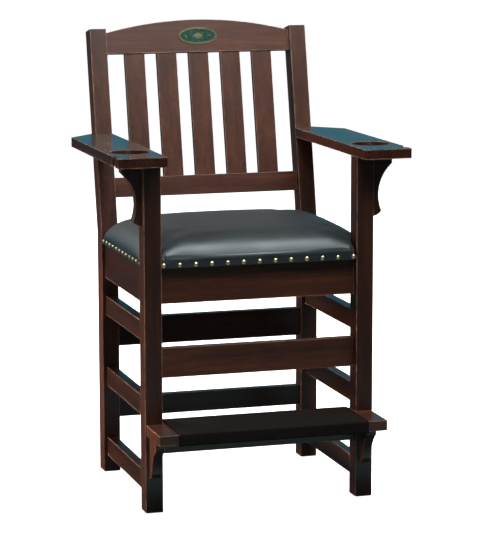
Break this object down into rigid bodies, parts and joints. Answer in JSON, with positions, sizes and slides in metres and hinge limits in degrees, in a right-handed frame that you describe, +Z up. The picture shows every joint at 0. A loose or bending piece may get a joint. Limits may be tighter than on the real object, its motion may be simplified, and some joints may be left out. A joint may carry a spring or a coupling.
{
  "type": "spectator chair",
  "caption": "Tall wooden spectator chair with a nailed leather seat, slatted back, wide arms with cup recesses and cue notches, and a covered footrest.",
  "frame": {"origin": "on the floor, under the middle of the whole chair's bounding box", "axes": "+Z up, the chair faces -Y, +X is the right-hand arm for someone who looks at its front"},
  "size_m": [0.77, 0.7448, 1.2189],
  "materials": {
    "stained_wood": "satin lacquer over a dark reddish-brown stain",
    "plain_wood": "unfinished",
    "seat_leather": "charcoal, soft sheen",
    "foam": "upholstery foam",
    "footrest_cover": "dark brown-black, fine grain",
    "brass": "polished",
    "screw_steel": "zinc plated",
    "enamel": "green enamel",
    "glide": "dark"
  },
  "bodies": {
    "root": {"front_leg_left": "stained_wood", "front_leg_right": "stained_wood", "rear_post_left": "stained_wood", "rear_post_right": "stained_wood", "front_seat_rail": "stained_wood", "rear_seat_rail": "stained_wood", "side_seat_rail_left": "stained_wood", "side_seat_rail_right": "stained_wood", "front_stretcher": "stained_wood", "footrest_stretcher": "stained_wood", "rear_stretcher_upper": "stained_wood", "rear_stretcher_lower": "stained_wood", "side_stretcher_left_lower": "stained_wood", "side_stretcher_left_middle": "stained_wood", "side_stretcher_left_upper": "stained_wood", "side_stretcher_right_lower": "stained_wood", "side_stretcher_right_middle": "stained_wood", "side_stretcher_right_upper": "stained_wood", "crest_rail": "stained_wood", "lower_back_rail": "stained_wood", "back_slat_1": "stained_wood", "back_slat_2": "stained_wood", "back_slat_3": "stained_wood", "back_slat_4": "stained_wood", "back_slat_5": "stained_wood", "armrest_left": "stained_wood", "armrest_right": "stained_wood", "arm_corbel_left": "stained_wood", "arm_corbel_right": "stained_wood", "footrest_board": "stained_wood", "footrest_cover": "footrest_cover", "footrest_bracket_left": "stained_wood", "footrest_bracket_right": "stained_wood", "seat_board": "plain_wood", "seat_foam": "foam", "seat_leather": "seat_leather", "nails_front": "brass", "nails_left": "brass", "nails_right": "brass", "corner_block_front_left": "plain_wood", "corner_block_front_right": "plain_wood", "corner_block_rear_left": "plain_wood", "corner_block_rear_right": "plain_wood", "corner_block_screws": "screw_steel", "seat_screws": "screw_steel", "footrest_screws": "screw_steel", "arm_dowels": "plain_wood", "corbel_dowels": "plain_wood", "bracket_dowels": "plain_wood", "medallion_plate": "brass", "medallion_enamel": "enamel", "foot_glides": "glide"}
  },
  "joints": []
}
